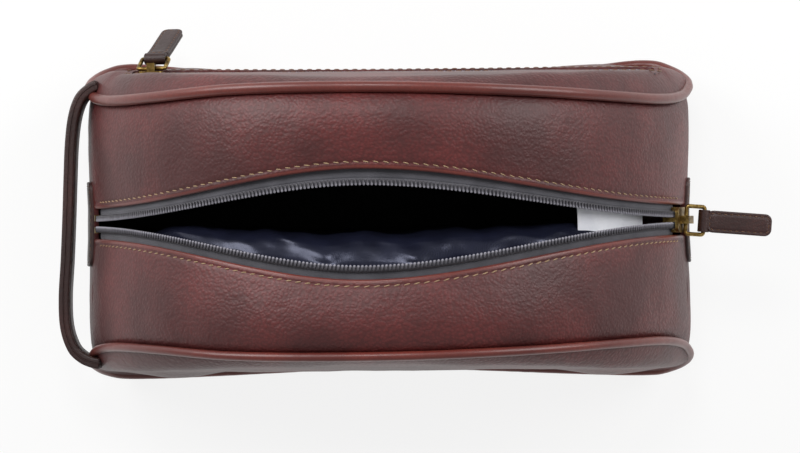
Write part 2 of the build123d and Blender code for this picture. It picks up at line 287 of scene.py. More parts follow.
def joinPieces(name, pieces):
    deselect()
    for piece in pieces:
        piece.select_set(True)
    bpy.context.view_layer.objects.active = pieces[0]
    bpy.ops.object.join()
    pieces[0].name = pieces[0].data.name = name
    return pieces[0]


def copyAlong(name, model, spots):
    # Copies a small modelled piece to each (x, y, z, turn) and joins the copies
    copies = []
    for x, y, z, turn in spots:
        copy = model.copy()
        copy.data = model.data.copy()
        copy.data.transform(Matrix.Translation((x, y, z)) @ Matrix.Rotation(turn, 4, "Z"))
        bpy.context.collection.objects.link(copy)
        copies.append(copy)
    bpy.data.objects.remove(model)
    return joinPieces(name, copies)


def finish(obj, material, body=None, stands=(), angle=40):
    makeActive(obj)
    bpy.ops.object.shade_smooth_by_angle(angle=radians(angle))
    obj.data.materials.clear()
    obj.data.materials.append(material)
    if body:
        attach(obj, body)
    if stands:
        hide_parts(*stands)
    return obj


# Materials

def toLinear(hexColour):
    parts = [int(hexColour[i:i + 2], 16) / 255 for i in (1, 3, 5)]
    linear = [c / 12.92 if c <= 0.04045 else ((c + 0.055) / 1.055) ** 2.4 for c in parts]
    return (*linear, 1.0)


def addNode(tree, kind, values=None, links=None, **settings):
    node = tree.nodes.new("ShaderNode" + kind)
    for key, value in settings.items():
        setattr(node, key, value)
    for key, value in (values or {}).items():
        node.inputs[key].default_value = value
    for key, source in (links or {}).items():
        tree.links.new(source, node.inputs[key])
    return node


def newMaterial(name, **sockets):
    material = bpy.data.materials.new(name)
    material.use_nodes = True
    tree = material.node_tree
    shader = tree.nodes["Principled BSDF"]
    for key, value in sockets.items():
        shader.inputs[key.replace("_", " ")].default_value = value
    return material, tree, shader


def ramp(tree, source, stops):
    node = addNode(tree, "ValToRGB", links={0: source})
    while len(node.color_ramp.elements) < len(stops):
        node.color_ramp.elements.new(0.5)
    for element, (at, colour) in zip(node.color_ramp.elements, stops):
        element.position = at
        element.color = toLinear(colour) if isinstance(colour, str) else (colour, colour, colour, 1)
    return node.outputs[0]


def addMath(tree, operation, *inputs):
    # Each input is a number or another node's output
    numbers = {i: value for i, value in enumerate(inputs) if isinstance(value, (int, float))}
    sources = {i: value for i, value in enumerate(inputs) if i not in numbers}
    return addNode(tree, "Math", numbers, sources, operation=operation).outputs[0]


def addNoise(tree, place, size, detail, **more):
    # Noise with features of a size in millimetres
    return addNode(tree, "TexNoise", {"Scale": 1 / (size * mm), "Detail": detail, **more},
                   {"Vector": place}).outputs


def addRange(tree, source, values):
    return addNode(tree, "MapRange", values, {0: source}).outputs[0]


def objectPlace(tree):
    return addNode(tree, "TexCoord").outputs["Object"]


def splitPlace(tree, place):
    return addNode(tree, "SeparateXYZ", links={0: place}).outputs


def dressShader(tree, shader, colour, height, strength, depth, rough=None):
    # Colour, relief of a depth in millimetres, and an uneven gloss where one is given
    bump = addNode(tree, "Bump", {"Strength": strength, "Distance": depth * mm}, {"Height": height})
    tree.links.new(colour, shader.inputs["Base Color"])
    tree.links.new(bump.outputs[0], shader.inputs["Normal"])
    if rough:
        tree.links.new(rough, shader.inputs["Roughness"])


def makeLeather(name, look):
    # Milled cowhide under a semi-gloss finish: soft pebbles that catch the light, with painted shade in the
    # creases between them
    material, tree, shader = newMaterial(
        name, Sheen_Weight=look["sheen"], Sheen_Roughness=0.3, Sheen_Tint=toLinear(look["bloom"]),
        Coat_Weight=look["coat"], Coat_Roughness=0.4)
    place = objectPlace(tree)
    wander = addNoise(tree, place, 5, 2.0)["Color"]
    shift = addNode(tree, "VectorMath", {1: (0.0012, 0.0012, 0.0012)}, {0: wander},
                    operation="MULTIPLY").outputs[0]
    warped = addNode(tree, "VectorMath", links={0: place, 1: shift}, operation="ADD").outputs[0]
    pebble = addNode(tree, "TexVoronoi", {"Scale": 1 / (look["pebble"] * mm), "Smoothness": 0.35},
                     {"Vector": warped}, feature="SMOOTH_F1")
    pulled = addNode(tree, "VectorMath", {1: (0.45, 1.0, 1.0)}, {0: warped}, operation="MULTIPLY")
    creases = addNoise(tree, pulled.outputs[0], 2.0, 4.0, Roughness=0.55)["Fac"]
    pores = addNoise(tree, place, 0.4, 2.0)["Fac"]
    slow = addNoise(tree, place, 34, 3.0)["Fac"]
    dome = ramp(tree, pebble.outputs["Distance"], [(0.05, 1.0), (0.75, 0.0)])
    tone = ramp(tree, slow, [(0.38, look["dark"]), (0.64, look["light"])])
    # Painted shade: the crease colour darkens the hollows between the pebbles
    creaseShadeShare = addRange(tree, dome, {1: 0.0, 2: 0.8, 3: 0.45})
    colour = addNode(tree, "Mix", {6: toLinear(look["paintedCreaseShade"])}, {0: creaseShadeShare, 7: tone},
                     data_type="RGBA").outputs[2]
    rough = addRange(tree, dome, {3: look["creaseRough"], 4: look["rough"]})
    rise = addMath(tree, "MULTIPLY_ADD", creases, 2.2, dome)
    height = addMath(tree, "MULTIPLY_ADD", pores, look["poreShare"], rise)
    dressShader(tree, shader, colour, height, look["grain"], look["depth"], rough)
    return material


def makeBrass(name, look):
    # Antique brass plating: brown patina and rubbed-bright plating in uneven patches
    material, tree, shader = newMaterial(name, Metallic=1.0)
    place = objectPlace(tree)
    stain = addNoise(tree, place, look["stain"], 4.0)["Fac"]
    colour = ramp(tree, stain, [(0.3, look["patina"]), (0.5, look["plating"]), (0.7, look["rubbed"])])
    scuffs = addNoise(tree, place, look["scuff"], 2.0)["Fac"]
    dressShader(tree, shader, colour, scuffs, 0.25, 0.04, addRange(tree, stain, {3: 0.5, 4: 0.26}))
    return material


def makeCloth(name, look):
    # Woven cloth: two sets of threads, with painted shade in the gaps between them
    look = {"coat": 0.0, "sheen": 0.0, "gloss": "#ffffff", **look}
    material, tree, shader = newMaterial(
        name, Roughness=look["rough"], Coat_Weight=look["coat"], Coat_Roughness=0.2,
        Sheen_Weight=look["sheen"], Specular_Tint=toLinear(look["gloss"]))
    place = objectPlace(tree)
    parts = splitPlace(tree, place)
    threads = []
    for first, second in ((0, 2), (1, 2)):
        run = addMath(tree, "ADD", parts[first], parts[second])
        phase = addMath(tree, "MULTIPLY", run, 2 * pi / (look["thread"] * mm))
        threads.append(addMath(tree, "SINE", phase))
    weave = addMath(tree, "MULTIPLY", *threads)
    shade = addRange(tree, weave, {1: -1.0})
    cloud = addNoise(tree, place, 9, 3.0)["Fac"]
    amount = addMath(tree, "MULTIPLY_ADD", shade, 0.5, cloud)
    colour = ramp(tree, amount, [(0.3, look["dark"]), (0.95, look["light"])])
    dressShader(tree, shader, colour, weave, look["relief"], 0.05)
    return material


def makeThread(name, look):
    # Waxed polyester thread: a two-ply twist with a dull shine, with painted shade in the grooves between the
    # plies
    material, tree, shader = newMaterial(name, Roughness=0.5)
    parts = splitPlace(tree, objectPlace(tree))
    lean = addMath(tree, "ADD", parts[0], parts[1])
    wave = addMath(tree, "SINE", addMath(tree, "MULTIPLY", lean, 2 * pi / (look["twist"] * mm)))
    amount = addRange(tree, wave, {1: -1.0})
    colour = ramp(tree, amount, [(0.1, look["dark"]), (0.9, look["light"])])
    dressShader(tree, shader, colour, wave, 0.5, 0.06)
    return material


def makeNylon(name, look):
    # Moulded nylon coil, smooth and slightly shiny, uneven in tone from loop to loop, with a painted
    # highlight on the heads and painted shade towards the tape
    material, tree, shader = newMaterial(name, Roughness=look["rough"])
    dust = addNoise(tree, objectPlace(tree), look["dust"], 3.0)["Fac"]
    inward = addNode(tree, "Attribute", attribute_name="inward").outputs["Fac"]
    # Random dust tone plus painted light: pale heads as a painted highlight, darker towards the tape as
    # painted shade
    dustAndPaintedLight = addMath(tree, "MULTIPLY_ADD", dust, 0.35, inward)
    colour = ramp(tree, dustAndPaintedLight, [(0.3, look["head"]), (0.62, look["middle"]), (0.95, look["back"])])
    dressShader(tree, shader, colour, dust, 0.2, 0.05)
    return material


# Sizes in the looks are millimetres: pebbles, threads, twist, stains, scuffs, dust and the relief's depth

# Each leather's crease colour is painted shade in the hollows between its pebbles
bodyLeather = makeLeather("milledCowhide", {  # soft and pebbled
    "dark": "#461616", "light": "#642423", "paintedCreaseShade": "#3b1312", "bloom": "#d6ccc0",
    "sheen": 0.06, "coat": 0.12, "pebble": 1.25, "rough": 0.45, "creaseRough": 0.52, "grain": 0.55,
    "depth": 0.22, "poreShare": 0.1})
pipingLeather = makeLeather("glazedPipingLeather", {  # smooth, glazed and rolled round a cord
    "dark": "#5c231d", "light": "#743027", "paintedCreaseShade": "#541e18", "bloom": "#e0c4b4",
    "sheen": 0.06, "coat": 0.25, "pebble": 0.8, "rough": 0.32, "creaseRough": 0.38, "grain": 0.2,
    "depth": 0.08, "poreShare": 0.3})
trimLeather = makeLeather("darkTrimLeather", {  # of the strap, tabs and patches
    "dark": "#2c1411", "light": "#42221e", "paintedCreaseShade": "#200d0b", "bloom": "#a89488",
    "sheen": 0.03, "coat": 0.05, "pebble": 0.8, "rough": 0.42, "creaseRough": 0.5, "grain": 0.35,
    "depth": 0.14, "poreShare": 0.3})
antiqueBrass = makeBrass("antiqueBrass", {  # plating of the sliders, rings and stops
    "patina": "#4d3c1e", "plating": "#82693b", "rubbed": "#bda263", "stain": 2.4, "scuff": 0.4})
zipTape = makeCloth("wovenPolyesterTape", {  # of both zips
    "dark": "#333238", "light": "#55545b", "rough": 0.7, "sheen": 0.2, "thread": 0.5, "relief": 0.6})
coatedNylon = makeCloth("coatedNylonLining", {  # glossy where its coating faces the light
    "dark": "#0c0d16", "light": "#171928", "gloss": "#d2d7f6", "rough": 0.26, "coat": 0.05, "thread": 0.6,
    "relief": 0.12})
shadedLiningNylon = makeCloth("shadedNylonLining", {  # the same cloth made darker and dull, as painted shade deep in the bag
    "dark": "#040405", "light": "#09090b", "rough": 0.9, "thread": 0.6, "relief": 0.12})
satinRibbon = makeCloth("satinRibbon", {  # of the care label
    "dark": "#d2d4de", "light": "#f2f3f8", "rough": 0.5, "sheen": 0.1, "thread": 0.5, "relief": 0.25})
fibreBoard = makeCloth("pressedFibreBoard", {  # stiffener in the base
    "dark": "#2a2622", "light": "#3d3731", "rough": 0.85, "thread": 1.2, "relief": 0.3})
waxedThread = makeThread("waxedSaddleThread", {"light": "#b79d7c", "dark": "#84694a", "twist": 0.6})
trimThread = makeThread("waxedTrimThread", {"light": "#7d5a41", "dark": "#553a2a", "twist": 0.6})
nylonCoil = makeNylon("mouldedNylonCoil", {  # painted highlight on its heads, painted shade towards the tape
    "head": "#8d8b94", "middle": "#5a585f", "back": "#3a383d", "rough": 0.36, "dust": 2.2})
print("materials made")


# Leather that goes round the bag between the two seams

gusset = {
    "seamGap": 1.5,  # leather's edge beside the middle of the piping
    "seamDip": 1.6,  # how deep it dips into the seam
    "dipWidth": 2.2,
    "puff": 1.1,  # crown across a strip
    "openPuff": 2.6,  # more of it where the mouth gapes
    "ends": {  # how far the left and right ends stand out, across the bag
        -1: [(-64, 0), (-40, 1.6), (0, 2.2), (40, 1.6), (64, 0)],
        1: [(-64, 0.4), (-48, 1.4), (-30, 0.4), (-8, -1.8), (22, -2.2), (46, -0.8), (64, 0)],
    },
    "wall": 0.9,
    "roll": 0.95,  # radius of the turned edge beside the zip
    "stitchIn": 2.6,  # topstitch from the turned edge
    "stitchSink": 0.32,
    "rubbed": 1.35,  # width of the turned edge in that brighter leather, partly a painted highlight
    "wrinkle": 0.35,
    "turns": [205, 170, 135, 105, 75, 50, 28, 10],  # points round the turned edge, in degrees
    "nearLip": [1.0, 1.3, 1.6, 1.9, 2.2, 2.5, 2.8, 3.1, 3.6, 4.4],  # then beside it, from the lip
    "toSeam": 18,  # number of points from there to the seam
}


def gussetOut(s, y, lip, side):
    # Height of the leather over the plain outline
    x = onSide(s)[0]
    half = seamHalf(s, side)
    fromSeam = max(half - abs(y), 0.0)
    share = min(fromSeam / (half - lip), 1.0)
    crown = (gusset["puff"] + gusset["openPuff"] * openShare(x)) * sin(pi * share ** 0.8)
    onEnd = smooth((abs(s) - mouthLength - 2) / 24)
    full = readCurve(gusset["ends"][1 if s > 0 else -1], y)
    dip = gusset["seamDip"] * exp(-max(fromSeam - gusset["seamGap"], 0) / gusset["dipWidth"])
    uneven = gusset["wrinkle"] * (roughly((x, y, s), 17) + 0.5 * roughly((s, y, x), 7)) * min(fromSeam / 8, 1)
    out = mix(crown + lipLift(x) * share, full, onEnd) - dip + uneven * (1 - 0.6 * share)
    sunk = exp(-((abs(y) - lip - gusset["stitchIn"]) / 0.55) ** 2)
    sunk *= 1 - smooth((abs(s) - mouthLength + 6) / 6)
    out -= gusset["stitchSink"] * sunk
    if abs(s) > baseStart:  # the base lies flat on the floor
        rest = smooth((fromSeam - 3) / 9)
        out = mix(-dip * 0.3, bag["lift"], rest)
    elif abs(s) > baseStart - 22:
        out = min(out, mix(out, bag["lift"], (abs(s) - baseStart + 22) / 22))
    return out


def makeStrip(name, row, start, end):
    # Half of the leather beside the zip, from the turned edge of the mouth to the seam
    roll, side = gusset["roll"], row["side"]
    under = len(gusset["turns"])
    near = under + len(gusset["nearLip"])

    def place(s, j):
        lip = lipHalf(row, onSide(s)[0])
        if j < under:
            turn = radians(gusset["turns"][j])
            level = gussetOut(s, lip + roll, lip, side) - roll
            return onBag(s, side * (lip + roll - roll * sin(turn)), level + roll * cos(turn))
        y = lip + gusset["nearLip"][min(j, near - 1) - under]
        if j >= near:
            t = (j + 1 - near) / gusset["toSeam"]
            y = mix(y, seamHalf(s, side) - gusset["seamGap"], 1 - (1 - t) ** 1.25)
        return onBag(s, side * y, gussetOut(s, y, lip, side))

    stations = spread(start, end, round((end - start) / 2.0))
    return addSheet(name, stations, range(near + gusset["toSeam"]), place, fromAxis, gusset["wall"])


def glazeLipWithHighlight(strip, row):
    # The turned edge gets the piping's smoother, brighter red: partly the glazed leather of the edge, partly
    # a painted highlight along the roll
    strip.data.materials.append(pipingLeather)
    for polygon in strip.data.polygons:
        x, y = polygon.center.x / mm, abs(polygon.center.y) / mm
        if y < lipHalf(row, x) + gusset["rubbed"]:
            polygon.material_index = 1


def wrapBase(s):
    # Past the middle of the base the distance counts on from the other side
    return s if s <= halfRound else s - 2 * halfRound


def betweenSeams(s, share):
    # A point of the leather, by its share from the front seam to the rear one
    side = -1 if share < 0.5 else 1
    y = (seamHalf(s, side) - gusset["seamGap"]) * sin(pi / 2 * (2 * share - 1))
    return onBag(s, y, gussetOut(s, y, bag["mouthEnd"], side))


def makeEnd(name, side):
    return addSheet(name, spread(side * mouthLength, side * baseStart, 22), spread(0, 1, 56), betweenSeams,
                    lambda point: Vector((point.x, 0, 0)), bag["leather"])


def makeBase():
    stations = [wrapBase(s) for s in spread(baseStart, baseStart + 2 * cornerX, 60)]
    return addSheet("base_leather", stations, spread(0, 1, 50), betweenSeams,
                    lambda point: Vector((0, 0, -1)), bag["leather"])


splitAt = archRadius * asin(bag["widest"] / archRadius)
stripBlend = {
    "seam": 49.0,  # half width where a strip stays in place
    "slant": 1.517,  # how far the ramp falls from the widest place to a mouth's end
}


def slantedBlend(obj, row, zero, slope):
    # Only bakes the piece's placement into its mesh. row is not used; zero (a place where the ramp is 0) and
    # slope (its rise per millimetre) are not used either
    start, slope = Vector(zero), Vector(slope)
    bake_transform(obj)


def blendStrip(obj, row, hingeX):
    # Works out the ramp from the lip to the seam and hands it to slantedBlend, which only bakes the strip in
    # place
    perY = -row["side"] / (stripBlend["seam"] - row["lip"])
    perX = stripBlend["slant"] / (bag["widest"] - hingeX)
    slantedBlend(obj, row, (bag["widest"], row["side"] * stripBlend["seam"], 0), (perX, perY, 0))


def blendRow(obj, row, hingeX):
    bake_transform(obj)


# Rear and front, each from the mouth's widest place to the left or to the right
halves = [(side, row, *half) for side, row in rows.items() for half in (
    ("west", -mouthLength, splitAt, bag["westEnd"]), ("east", splitAt, mouthLength, bag["eastEnd"]))]
for side, row, part, start, end, hingeX in halves:
    strip = makeStrip(f"{side}_strip_{part}", row, start, end)
    finish(strip, bodyLeather, stands=[f"{side}_zip_strip"], angle=60)
    glazeLipWithHighlight(strip, row)
    blendStrip(strip, row, hingeX)
for name, side in (("left", -1), ("right", 1)):
    finish(makeEnd(f"{name}_end_leather", side), bodyLeather, "shell", [f"{name}_end_panel"])
finish(makeBase(), bodyLeather, "shell", ["base_panel"])
print("gusset leather made")


# Stitches

stitch = {"pitch": 3.7, "length": 2.35, "thick": 0.64, "slant": 13.0, "endClear": 8.0}


def addBall(rings):
    deselect()
    bpy.ops.mesh.primitive_uv_sphere_add(segments=8, ring_count=rings, radius=0.5)
    return bpy.context.object


def addStitch(length=stitch["length"], thick=stitch["thick"]):
    # One stitch of waxed thread, pulled into the leather at both ends
    model = addBall(6)
    model.data.transform(Matrix.Diagonal((thick, thick * 0.8, length, 1)))
    model.data.transform(Matrix.Rotation(radians(90), 4, "Y"))
    return model


def stitchSpots(outline, pitch, walked):
    # Places and directions at one pitch along an outline, the first one after the distance walked
    spots = []
    for p, q in zip(outline, outline[1:]):
        step = (q - p).length
        while walked <= step and step > 0:
            at = p.lerp(q, walked / step)
            spots.append((at.x, at.y, atan2(q.y - p.y, q.x - p.x)))
            walked += pitch
        walked -= step
    return spots


def sewPad(name, pad, height, inset, pitch, place):
    # Stitches round a pad, on its top and underside, then bent as the pad is
    halfLength, halfWidth, corner = pad
    outline = roundedOutline(halfLength - inset, halfWidth - inset, corner - inset, 60, 8)
    seam = stitchSpots(outline, pitch, pitch / 2)
    spots = [(x, y, side * height, turn) for x, y, turn in seam for side in (-1, 1)]
    obj = copyAlong(name, addStitch(pitch * 0.62, 0.42), spots)
    bend(obj, place)
    return obj


for side, row, part, start, end, hingeX in halves:
    count = int((end - start - stitch["endClear"]) / stitch["pitch"])
    first = start + stitch["pitch"] / 2
    if part == "west":  # counted back from the widest place
        first = end - (count - 0.5) * stitch["pitch"]
    slant = -row["side"] * radians(stitch["slant"])
    spots = [(first + i * stitch["pitch"], 0, 0, slant) for i in range(count)]

    def sewn(co, row=row):
        lip = lipHalf(row, onSide(co.x)[0])
        y = lip + gusset["stitchIn"] + row["side"] * co.y
        level = gussetOut(co.x, lip + gusset["stitchIn"], lip, row["side"]) + 0.08
        return onBag(co.x, row["side"] * y, level + co.z)

    seam = copyAlong(f"{side}_topstitch_{part}", addStitch(), spots)
    bend(seam, sewn)
    finish(seam, waxedThread, angle=180)
    blendStrip(seam, row, hingeX)
print("topstitches made")


# Main zip: tape and coil on each side

zipRow = {
    "endInner": 0.9,  # inner edge of the coil at the ends of the mouth
    "coilWidth": 2.6,
    "pitch": 1.5,
    "toothThick": 0.95,
    "top": 0.35,  # top of the coil above the leather at the ends
    "sink": 1.0,  # lower than the lips where the mouth gapes
    "ends": (-155.5, 147.0),
    "tape": [  # outward from the coil's inner edge, level from the coil's top
        (0.55, -1.5), (0.7, -1.1), (1.0, -0.95), (1.8, -0.9), (2.3, -0.95), (2.6, -1.4), (2.8, -2.2),
        (3.0, -2.3), (3.25, -2.1), (3.6, -2.1), (4.6, -2.1), (5.6, -2.2), (7.0, -2.4), (9.0, -2.6),
        (12.5, -2.7),
    ],
    "tapeWall": 0.6,
}


def coilInner(row, x):
    return mix(zipRow["endInner"], row["travel"], openShare(x))


def coilTop(x):
    return zipRow["top"] + lipLift(x) - zipRow["sink"] * openShare(x)


def onRow(row, s, inward, level):
    # inward is measured from the coil's inner edge towards the leather
    x = onSide(s)[0]
    return onBag(s, row["side"] * (coilInner(row, x) + inward), coilTop(x) + level)


def addTooth(length, thick):
    # A coil loop seen from above: a bar across the row with a rounder head at its inner end
    model = addBall(7)
    for vertex in model.data.vertices:
        along = vertex.co.z  # -0.5 at the head
        girth = sqrt(max(0.25 - along ** 2, 0))
        full = 0.5 * min(girth / 0.32, 1) * (1.25 if along < -0.2 else 1.0)
        scale = full / girth * thick if girth > 0.001 else thick
        vertex.co = Vector((vertex.co.x * scale * 0.9, (along + 0.5) * length, vertex.co.y * scale))
    editAll(model, pointOut)
    return model


def addCoil(name, width, thick, spots):
    # Loops at the spots, each point marked by its share of the way from the heads, painted as highlights, to
    # the tape
    coil = copyAlong(name, addTooth(width, thick), spots)
    shares = coil.data.attributes.new("inward", "FLOAT", "POINT")
    for vertex, share in zip(coil.data.vertices, shares.data):
        share.value = vertex.co.y / width
    return coil


def alongRow(start, end):
    # The part of a stretch that the zip's rows reach
    return max(start, zipRow["ends"][0]), min(end, zipRow["ends"][1])


def makeCoil(name, row, start, end):
    # Teeth on one pitch over the whole row, the two rows half a pitch apart
    low, high = alongRow(start, end)
    first = int(low / zipRow["pitch"]) - 1
    last = int(high / zipRow["pitch"]) + 1
    at = [i * zipRow["pitch"] + row["phase"] for i in range(first, last + 1)]
    level = -zipRow["toothThick"] / 2
    spots = [(s, 0, level, radians(8)) for s in at if low <= s < high]
    coil = addCoil(name, zipRow["coilWidth"], zipRow["toothThick"], spots)
    bend(coil, lambda co: onRow(row, co.x, co.y, co.z))
    return coil


def makeTape(name, row, start, end):
    # Woven tape with the coil's sewn cord along its edge, passing under the leather
    low, high = alongRow(start, end)
    return addSheet(name, spread(low, high, round((high - low) / 2.5)), zipRow["tape"],
                    lambda s, p: onRow(row, s, *p), fromAxis, zipRow["tapeWall"])


for side, row, part, start, end, hingeX in halves:
    coil = makeCoil(f"{side}_zip_coil_{part}", row, start, end)
    finish(coil, nylonCoil, stands=[f"{side}_coil"], angle=180)
    blendRow(coil, row, hingeX)
    tape = makeTape(f"{side}_zip_tape_{part}", row, start, end)
    finish(tape, zipTape, stands=[f"{side}_tape"], angle=60)
    blendRow(tape, row, hingeX)
print("main zip made")


# Piping in both seams

def makePiping(name, side):
    radius = bag["pipingRadius"][side]

    def place(s, turn):
        swell = radius * (1 + 0.035 * roughly((s, 3 * side, 0), 3.1) + 0.03 * roughly((s, side, 5), 14))
        y = side * (seamHalf(s, side) + swell * cos(turn))
        return onBag(s, y, bag["pipingProud"] + swell * sin(turn))

    obj = addGrid(name, spread(-halfRound, halfRound, 420), spread(0, 2 * pi, 16), place)
    editAll(obj, weld(), pointOut)
    return obj


for name, side in (("front", -1), ("rear", 1)):
    finish(makePiping(f"{name}_piping_bead", side), pipingLeather, "shell", [f"{name}_piping"], 180)
print("piping made")


# Front and rear panels

panels = {  # the face lists (height, distance from the bag's middle)
    "rear": {"side": 1, "face": [(0, 60.4), (48, 60.7), (122, 53.6)],
             "corner": 3.6, "cornerX": 84.0, "dish": 0.6, "below": 1.7},
    "front": {"side": -1, "face": [(0, 60.0), (48, 59.8), (122, 53.0)],
              "corner": 4.6, "cornerX": 90.0, "dish": 0.8, "below": 0.0},
}
panelEdge = {"gap": 1.3, "puffWidth": 8.0, "inset": 0.2, "cornerZ": 14.0}


def topAt(x):
    # Distance round the outline to its upper side at x, and in bottomAt to its lower side
    side = -1 if x < 0 else 1
    x = abs(x)
    if x <= archRadius * sin(cornerAngle):
        s = archRadius * asin(x / archRadius)
    else:
        s = archLength + cornerRound * (asin(min((x - cornerX) / cornerRound, 1)) - cornerAngle)
    return side * s


def bottomAt(x):
    side = -1 if x < 0 else 1
    x = abs(x)
    if x <= cornerX:
        return side * (baseStart + cornerX - x)
    turn = pi - asin(min((x - cornerX) / cornerRound, 1))
    return side * (archLength + cornerRound * (turn - cornerAngle))


def fromOutline(x, z):
    reach = archRadius - sqrt(x * x + (z - archCentre) ** 2)
    low = z - bag["lift"]
    if abs(x) > cornerX and z < cornerZ:
        low = cornerRound - sqrt((abs(x) - cornerX) ** 2 + (z - cornerZ) ** 2)
    return max(min(reach, low), 0.0)


def parabola(points, at):
    (a, p), (b, q), (c, r) = points
    return (p * (at - b) * (at - c) / ((a - b) * (a - c)) + q * (at - a) * (at - c) / ((b - a) * (b - c))
            + r * (at - a) * (at - b) / ((c - a) * (c - b)))


def panelHalf(panel, x, z, seam):
    face = parabola(panel["face"], z)
    fromCorner = ((abs(x) - panel["cornerX"]) / 22) ** 2 + ((z - panelEdge["cornerZ"]) / 17) ** 2
    face += panel["corner"] * exp(-fromCorner)
    face += panel["below"] * smooth((48.5 - z) / 5) * exp(-((z - 36) / 22) ** 2)  # under the pocket zip
    face -= panel["dish"] * exp(-(x / 48) ** 2 - ((z - 18) / 22) ** 2)
    depth = fromOutline(x, z)
    ramp = sin(pi / 2 * min(depth / panelEdge["puffWidth"], 1)) ** 0.8
    uneven = 0.55 * roughly((x, 40 * panel["side"], z), 26) + 0.25 * roughly((x, 9 * panel["side"], z), 11)
    if panel["side"] > 0:  # the pocket zip holds its line flat
        uneven *= smooth((abs(z - 48) - 5) / 12)
    return mix(seam + panelEdge["gap"], face, ramp) + uneven * min(depth / 8, 1)


def makePanel(name, panel):
    def place(along, across):
        x = -(endX - panelEdge["inset"]) * cos(pi * along)
        top, bottom = topAt(x), bottomAt(x)
        share = 0.5 - 0.5 * cos(pi * across)
        z = mix(onSide(bottom)[1] + panelEdge["inset"], onSide(top)[1] - panelEdge["inset"], share)
        seam = mix(seamHalf(bottom, panel["side"]), seamHalf(top, panel["side"]), share)
        return Vector((x, panel["side"] * panelHalf(panel, x, z, seam), z)) * mm

    return addSheet(name, spread(0, 1, 130), spread(0, 1, 64), place,
                    lambda point: Vector((0, panel["side"], 0)), bag["leather"], joined=True)


pocket = {
    "left": -104.0, "right": 108.0, "height": 48.0,
    "slotHalf": 4.6,
    "corner": 3.0,
    "face": 60.75,  # leather's outer face along the zip
    "stitchOut": 2.4,
    "coilWidth": 2.2,
    "toothThick": 0.85,
    "coilTop": 0.35,
    "tapeWall": 0.5,
    "coilEnds": (-101.0, 105.0),
    "pouchY": 54.9,
    "pouchZ": 36.5,
    "pouchHalf": 18.5,  # half its height
}
pocketMiddle = (pocket["left"] + pocket["right"]) / 2
pocketHalf = (pocket["right"] - pocket["left"]) / 2


def onPocket(co):
    # Flat pieces of the pocket zip: x along it, y up, z out of the panel
    return Vector((pocketMiddle + co.x, pocket["face"] + co.z, pocket["height"] + co.y)) * mm


def cutSlot(panel):
    depth = 12.0
    profile = [(9, depth), (0, depth), (0, -depth), (9, -depth)]
    cutter = addPad("slot_cutter", pocketHalf, pocket["slotHalf"], pocket["corner"], profile)
    bend(cutter, onPocket)
    editAll(cutter, weld(), pointOut)
    applyModifier(panel, "BOOLEAN", object=cutter, operation="DIFFERENCE", solver="EXACT")
    bpy.data.objects.remove(cutter)


frontPanel = makePanel("front_panel_leather", panels["front"])
finish(frontPanel, bodyLeather, "shell", ["front_panel"])
rearPanel = makePanel("rear_panel_leather", panels["rear"])
cutSlot(rearPanel)
finish(rearPanel, bodyLeather, "shell", ["rear_panel"])
print("panels made")


# Pocket zip in the rear panel

def makePocketZip():
    profile = [(0.3, -0.9), (0.6, -0.55), (1.6, -0.5), (2.1, -0.9), (2.6, -1.55), (3.4, -1.7),
               (pocket["slotHalf"] + 3.4, -1.8)]
    for side, name in ((1, "upper"), (-1, "lower")):
        tape = addSheet(f"pocket_zip_tape_{name}", spread(-pocketHalf + 0.5, pocketHalf - 0.5, 60), profile,
                        lambda x, p: onPocket(Vector((x, side * p[0], pocket["coilTop"] - 0.4 + p[1]))),
                        lambda point: Vector((0, 1, 0)), pocket["tapeWall"])
        finish(tape, zipTape, "shell", [f"pocket_tape_{name}"])
        low, high = (end - pocketMiddle for end in pocket["coilEnds"])
        shift = 0.0 if side > 0 else zipRow["pitch"] / 2
        count = int((high - low) / zipRow["pitch"])
        spots = [(low + shift + i * zipRow["pitch"], 0, 0, 0) for i in range(count)]
        coil = addCoil(f"pocket_zip_coil_{name}", pocket["coilWidth"], pocket["toothThick"], spots)
        level = pocket["coilTop"] - 0.42
        bend(coil, lambda co: onPocket(Vector((co.x, side * (co.y - 0.15), co.z + level))))
        editAll(coil, pointOut)
        finish(coil, nylonCoil, "shell", [f"pocket_coil_{name}"], 180)
    out = pocket["stitchOut"]
    sewing = roundedOutline(pocketHalf + out, pocket["slotHalf"] + out, pocket["corner"] + out, 80, 8)
    seam = stitchSpots(sewing, stitch["pitch"], 0.0)
    spots = [(x, y, 0, turn + radians(stitch["slant"])) for x, y, turn in seam]

    def sewn(co):
        x, z = pocketMiddle + co.x, pocket["height"] + co.y
        seam = mix(seamHalf(bottomAt(x), 1), seamHalf(topAt(x), 1), 0.5)
        return Vector((x, panelHalf(panels["rear"], x, z, seam) + 0.05 + co.z, z)) * mm

    frameStitch = copyAlong("pocket_topstitch", addStitch(), spots)
    bend(frameStitch, sewn)
    finish(frameStitch, trimThread, "shell", angle=180)
    half = pocket["pouchHalf"]
    rim = bothHalves([(half, 2.2), (9, 2.0), (4, 1.9), (1, 1.4), (0, 0.4)])
    pouch = addPad("pocket_pouch_cloth", pocketHalf - 3, half, 6, rim, 60, 12)

    def hang(co):
        slack = 0.5 * roughly((co.x, co.y, 3), 12)
        return Vector((pocketMiddle + co.x, pocket["pouchY"] + co.z + slack, pocket["pouchZ"] + co.y)) * mm

    bend(pouch, hang)
    finish(pouch, coatedNylon, "shell", ["pocket_pouch"])


makePocketZip()
print("pocket zip made")


# Leather pull tabs: two layers folded round the ring and sewn

